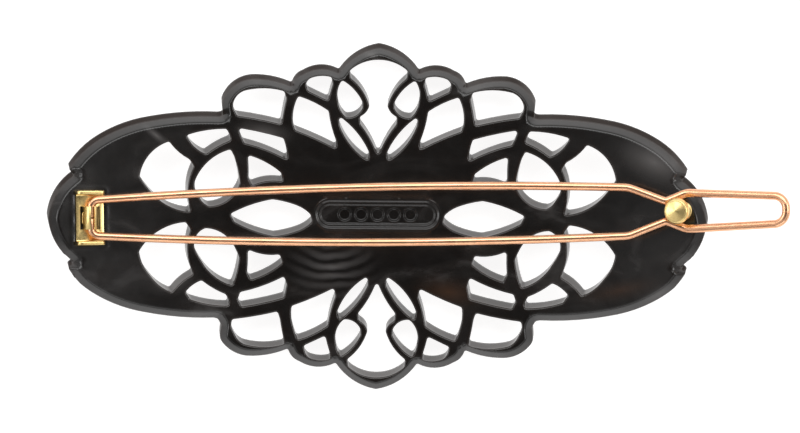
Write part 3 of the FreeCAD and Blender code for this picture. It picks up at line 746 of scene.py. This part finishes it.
def make_wire():
    """The bent wire: rings along its route, with rounded cut ends."""
    pivot, run, slope = wire_frame()
    route = wire_route(wire_corners(run, slope))
    tangent = np.gradient(route, axis=0)
    tangent /= np.linalg.norm(tangent, axis=1)[:, None]
    up = np.array([0.0, 0.0, 1.0])
    verts, faces = [], []
    angles = np.arange(WIRE_SIDES) * 2 * math.pi / WIRE_SIDES
    stations = wire_stations(len(route) - 1)
    for index, shift, share in stations:
        side = np.cross(up, tangent[index])
        side /= np.linalg.norm(side)
        top = np.cross(tangent[index], side)
        if share == 0.0:
            verts.append(route[index])
            continue
        ring = side * np.cos(angles)[:, None] + top * np.sin(angles)[:, None]
        verts.extend(route[index] + tangent[index] * shift + ring * WIRE_RADIUS * share)
    rings = len(stations) - 2
    last = 1 + (rings - 1) * WIRE_SIDES
    for i in range(WIRE_SIDES):
        j = (i + 1) % WIRE_SIDES
        faces.append((0, 1 + j, 1 + i))
        faces.append((len(verts) - 1, last + i, last + j))
        for ring in range(rings - 1):
            a, b = 1 + ring * WIRE_SIDES, 1 + (ring + 1) * WIRE_SIDES
            faces.append((a + i, a + j, b + j, b + i))
    turn = Matrix.Rotation(math.radians(SKEW), 3, "Z") @ Matrix.Rotation(-slope, 3, "Y")
    placed = np.array(verts) @ np.array(turn).T + pivot
    mesh = bpy.data.meshes.new("clasp_wire_bent")
    mesh.from_pydata((placed * MM).tolist(), [], faces)
    return finish_mesh(mesh, "clasp_wire_bent")


# ---- stud --------------------------------------------------------------------------------------
# Turned profile from the top of the head down: distance from the axis, height over the back face.

HEAD = (
    (0.0, 4.345), (0.12, 4.33), (0.35, 4.285), (0.8, 4.2), (1.2, 4.115), (1.42, 4.06), (1.5, 4.045),
    (1.58, 4.05), (1.66, 4.03), (1.76, 3.94), (1.88, 3.76), (1.96, 3.5), (2.0, 3.245), (1.96, 2.98),
    (1.84, 2.72), (1.62, 2.5), (1.36, 2.36), (1.12, 2.27), (1.05, 2.18), (1.03, 1.8), (1.02, 1.2),
    (1.04, 0.62), (1.1, 0.42), (1.25, 0.33), (1.42, 0.29), (1.49, 0.22), (1.5, 0.1), (1.5, -0.1),
    (0.6, -0.12), (0.6, -1.9), (0.0, -1.9),
)
STUD_SIDES = 72


def make_stud():
    """The turned stud, standing on the back face."""
    shape = bmesh.new()
    rows = []
    for radius, height in HEAD:
        if radius == 0:
            rows.append([shape.verts.new((0, 0, height * MM))])
            continue
        row = []
        for side in range(STUD_SIDES):
            angle = side * 2 * math.pi / STUD_SIDES
            x, y = radius * math.cos(angle), radius * math.sin(angle)
            row.append(shape.verts.new((x * MM, y * MM, height * MM)))
        rows.append(row)
    for upper, lower in zip(rows, rows[1:]):
        for side in range(STUD_SIDES):
            following = (side + 1) % STUD_SIDES
            if len(upper) == 1:
                shape.faces.new((upper[0], lower[side], lower[following]))
            elif len(lower) == 1:
                shape.faces.new((upper[side], lower[0], upper[following]))
            else:
                shape.faces.new((upper[side], lower[side], lower[following], upper[following]))
    mesh = bpy.data.meshes.new("ball_stud_turned")
    shape.transform(seat_matrix(STUD_X, STUD_Y))
    shape.to_mesh(mesh)
    shape.free()
    return finish_mesh(mesh, "ball_stud_turned")


# ---- pieces ------------------------------------------------------------------------------------

EDGE_ROUNDING = 0.05          # edges of the hinge plate and the leaf spring

acetate = acetate_material()
brass = metal_material("yellow_brass", BRASS, BRASS_WORN, 0.3, (1, 6, 1))
rose = metal_material("rose_gold_wire", ROSE, ROSE_WORN, 0.26, (0.05, 1, 1))
spring = metal_material("spring_strip", SPRING, SPRING_WORN, 0.3, (1, 8, 1))

plate = make_plate()
plate.data.materials.append(acetate)
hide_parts("openwork_plate")
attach(plate, "plate")

wire = make_wire()
wire.data.materials.append(rose)
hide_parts("clasp_wire")
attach(wire, "wire")

stud = make_stud()
stud.data.materials.append(brass)
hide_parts("ball_stud")
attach(stud, "plate")

for name, material in (("hinge_plate", brass), ("hinge_leaf_spring", spring)):
    node = frame["nodes"][name]
    node.data.materials.clear()
    node.data.materials.append(material)
    node.data.shade_smooth()
    weld = node.modifiers.new("weld", "WELD")
    weld.merge_threshold = 1e-6
    bevel_edges = node.modifiers.new("edge_rounding", "BEVEL")
    bevel_edges.width = EDGE_ROUNDING * MM
    bevel_edges.segments = 2
    bevel_edges.limit_method = "ANGLE"
    bevel_edges.angle_limit = math.radians(40)
    bevel_edges.harden_normals = True

# ---- floor, light and camera -------------------------------------------------------------------

FLOOR_HALF = 2.0             # metres
FLOOR_DROP = 0.2             # below the part, so that the two do not share a plane
# The sky's grey against its direction along Y, from -1 to 1.
GREYS = (
    (-1.0, 0.8), (-0.85, 0.6), (-0.74, 0.12), (-0.66, 0.12), (-0.5, 0.8), (-0.2, 0.6),
    (0.0, 0.35), (0.25, 0.8), (1.0, 0.9),
)
HORIZON = (0.1, 0.35)        # heights between which the plain horizon gives way to the bands
HORIZON_GREY = (0.5, 0.5, 0.5)
OVERHEAD = ((0.84, (1, 1, 1)), (0.97, (0.10, 0.10, 0.10)))  # the bands dim towards the top
LIGHT_DISTANCE = 1.0
# name, azimuth from +X towards +Y, elevation, width and height (m), power (W)
SOFTBOXES = (
    ("key", 95, 55, 1.1, 0.5, 5),
    ("fill", -80, 35, 0.9, 0.3, 1.5),
    ("side_left", 175, 30, 0.5, 0.35, 2),
    ("side_right", 10, 40, 0.45, 0.35, 2),
)
LENS, SENSOR = 390, 36
VIEW_WIDTH = 121.58          # seen across at the focus height
AIM = (3.434, -0.061)        # middle of the view
FOCUS_HEIGHT = 8.0
CAMERA_TURN = 0.5            # degrees


def paper_floor():
    """Plain white floor."""
    corners = [(-1, -1), (1, -1), (1, 1), (-1, 1)]
    mesh = bpy.data.meshes.new("floor")
    mesh.from_pydata([(x * FLOOR_HALF, y * FLOOR_HALF, 0) for x, y in corners], [], [(0, 1, 2, 3)])
    sheet = bpy.data.objects.new("floor", mesh)
    sheet.location.z = -FLOOR_DROP * MM
    bpy.context.scene.collection.objects.link(sheet)
    paper, _, _, shader = new_material("white_paper")
    shader.inputs["Base Color"].default_value = (0.35, 0.35, 0.35, 1)
    shader.inputs["Roughness"].default_value = 0.9
    shader.inputs["Specular IOR Level"].default_value = 0.0
    shader.inputs["Emission Color"].default_value = (1.0, 0.99, 0.985, 1)
    shader.inputs["Emission Strength"].default_value = 0.9
    mesh.materials.append(paper)
    return sheet


def studio_world():
    """Soft surroundings: grey bands along Y that dim overhead, over a plain horizon."""
    world = bpy.data.worlds.new("studio")
    bpy.context.scene.world = world
    world.use_nodes = True
    nodes, links = world.node_tree.nodes, world.node_tree.links
    direction = nodes.new("ShaderNodeTexCoord")
    split = nodes.new("ShaderNodeSeparateXYZ")
    links.new(direction.outputs["Generated"], split.inputs["Vector"])
    along_y = nodes.new("ShaderNodeMapRange")
    along_y.inputs["From Min"].default_value = -1.0
    links.new(split.outputs["Y"], along_y.inputs["Value"])
    bands = ramp(nodes, tuple(((place + 1) / 2, (grey,) * 3) for place, grey in GREYS))
    links.new(along_y.outputs["Result"], bands.inputs["Fac"])
    height = nodes.new("ShaderNodeMapRange")
    height.inputs["From Min"].default_value, height.inputs["From Max"].default_value = HORIZON
    links.new(split.outputs["Z"], height.inputs["Value"])
    overhead = ramp(nodes, OVERHEAD)
    links.new(split.outputs["Z"], overhead.inputs["Fac"])
    dimmed = nodes.new("ShaderNodeVectorMath")
    dimmed.operation = "MULTIPLY"
    links.new(bands.outputs["Color"], dimmed.inputs[0])
    links.new(overhead.outputs["Color"], dimmed.inputs[1])
    sky = mix(nodes, links, height.outputs["Result"], HORIZON_GREY, dimmed.outputs["Vector"])
    links.new(sky, nodes["Background"].inputs["Color"])
    nodes["Background"].inputs["Strength"].default_value = 1.0


def softbox(name, azimuth, elevation, width, height, power):
    """Area light aimed at the clip."""
    light = bpy.data.lights.new(name, "AREA")
    light.shape = "RECTANGLE"
    light.size, light.size_y = width, height
    light.energy = power
    lamp = bpy.data.objects.new(name, light)
    a, e = math.radians(azimuth), math.radians(elevation)
    direction = Vector((math.cos(a) * math.cos(e), math.sin(a) * math.cos(e), math.sin(e)))
    lamp.location = direction * LIGHT_DISTANCE
    lamp.rotation_mode = "QUATERNION"
    lamp.rotation_quaternion = direction.to_track_quat("Z", "Y")
    bpy.context.scene.collection.objects.link(lamp)


def overhead_camera():
    """Long lens looking straight down on the back of the clip."""
    data = bpy.data.cameras.new("camera")
    data.lens, data.sensor_width = LENS, SENSOR
    data.clip_start, data.clip_end = 0.05, 10
    camera = bpy.data.objects.new("camera", data)
    distance = VIEW_WIDTH * LENS / SENSOR + FOCUS_HEIGHT
    camera.location = Vector((*AIM, distance)) * MM
    camera.rotation_euler = (0, 0, math.radians(CAMERA_TURN))
    bpy.context.scene.collection.objects.link(camera)
    bpy.context.scene.camera = camera


floor = paper_floor()
studio_world()
for settings in SOFTBOXES:
    softbox(*settings)
overhead_camera()
bpy.context.scene.view_settings.view_transform = "Standard"
bpy.context.scene.cycles.max_bounces = 8
